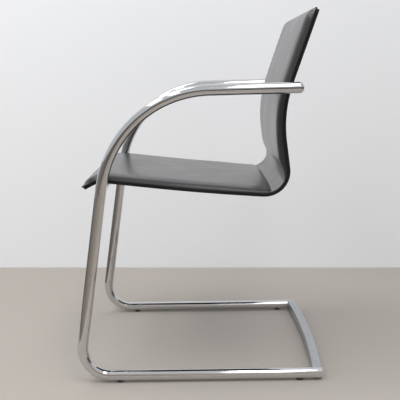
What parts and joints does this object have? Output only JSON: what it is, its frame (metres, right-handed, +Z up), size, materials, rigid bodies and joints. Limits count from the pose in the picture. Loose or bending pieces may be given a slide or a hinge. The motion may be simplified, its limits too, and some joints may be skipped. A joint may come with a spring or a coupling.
{
  "type": "cantilever armchair",
  "caption": "Cantilever armchair: bent round-tube side frames, joined by a bowed bar on the floor, carry a one-piece L-shaped shell whose seat and back are padded and covered in leather.",
  "frame": {"origin": "on the floor, at the middle of the chair's overall width and depth", "axes": "+X to the sitter's left, +Y to the rear, +Z up"},
  "size_m": [0.559, 0.5784, 0.8499],
  "materials": {
    "tube_chrome": "polished chrome plate on bent steel tube",
    "bar_satin": "satin, blue-grey where it faces up",
    "fitting_chrome": "polished chrome plate on flat steel",
    "glide_plastic": "matte black",
    "core_wood": "bare moulded plywood, hidden",
    "pad_foam": "open-cell foam, hidden",
    "front_leather": "smooth black leather with a soft sheen",
    "rear_leather": "smooth black leather with a soft sheen",
    "mount_rubber": "matte black",
    "fastener_steel": "zinc-plated, satin"
  },
  "bodies": {
    "root": {"side_tube_left": "tube_chrome", "side_tube_right": "tube_chrome", "rear_floor_bar": "bar_satin", "seat_cross_tube": "tube_chrome", "seat_plate_left": "fitting_chrome", "seat_plate_right": "fitting_chrome", "arm_lug_left": "fitting_chrome", "arm_lug_right": "fitting_chrome", "arm_end_cap_left": "tube_chrome", "arm_end_cap_right": "tube_chrome", "runner_end_disc_left": "tube_chrome", "runner_end_disc_right": "tube_chrome", "glide_front_left": "glide_plastic", "glide_front_right": "glide_plastic", "glide_rear_left": "glide_plastic", "glide_rear_right": "glide_plastic", "shell_core": "core_wood", "seat_foam": "pad_foam", "back_foam": "pad_foam", "front_cover": "front_leather", "rear_cover": "rear_leather", "seat_pad_left": "mount_rubber", "seat_pad_right": "mount_rubber", "back_pad_left": "mount_rubber", "back_pad_right": "mount_rubber", "seat_inserts": "fastener_steel", "seat_bolts": "fastener_steel", "seat_washers": "fastener_steel", "back_inserts": "fastener_steel", "back_bolts": "fastener_steel", "back_washers": "fastener_steel"}
  },
  "joints": []
}
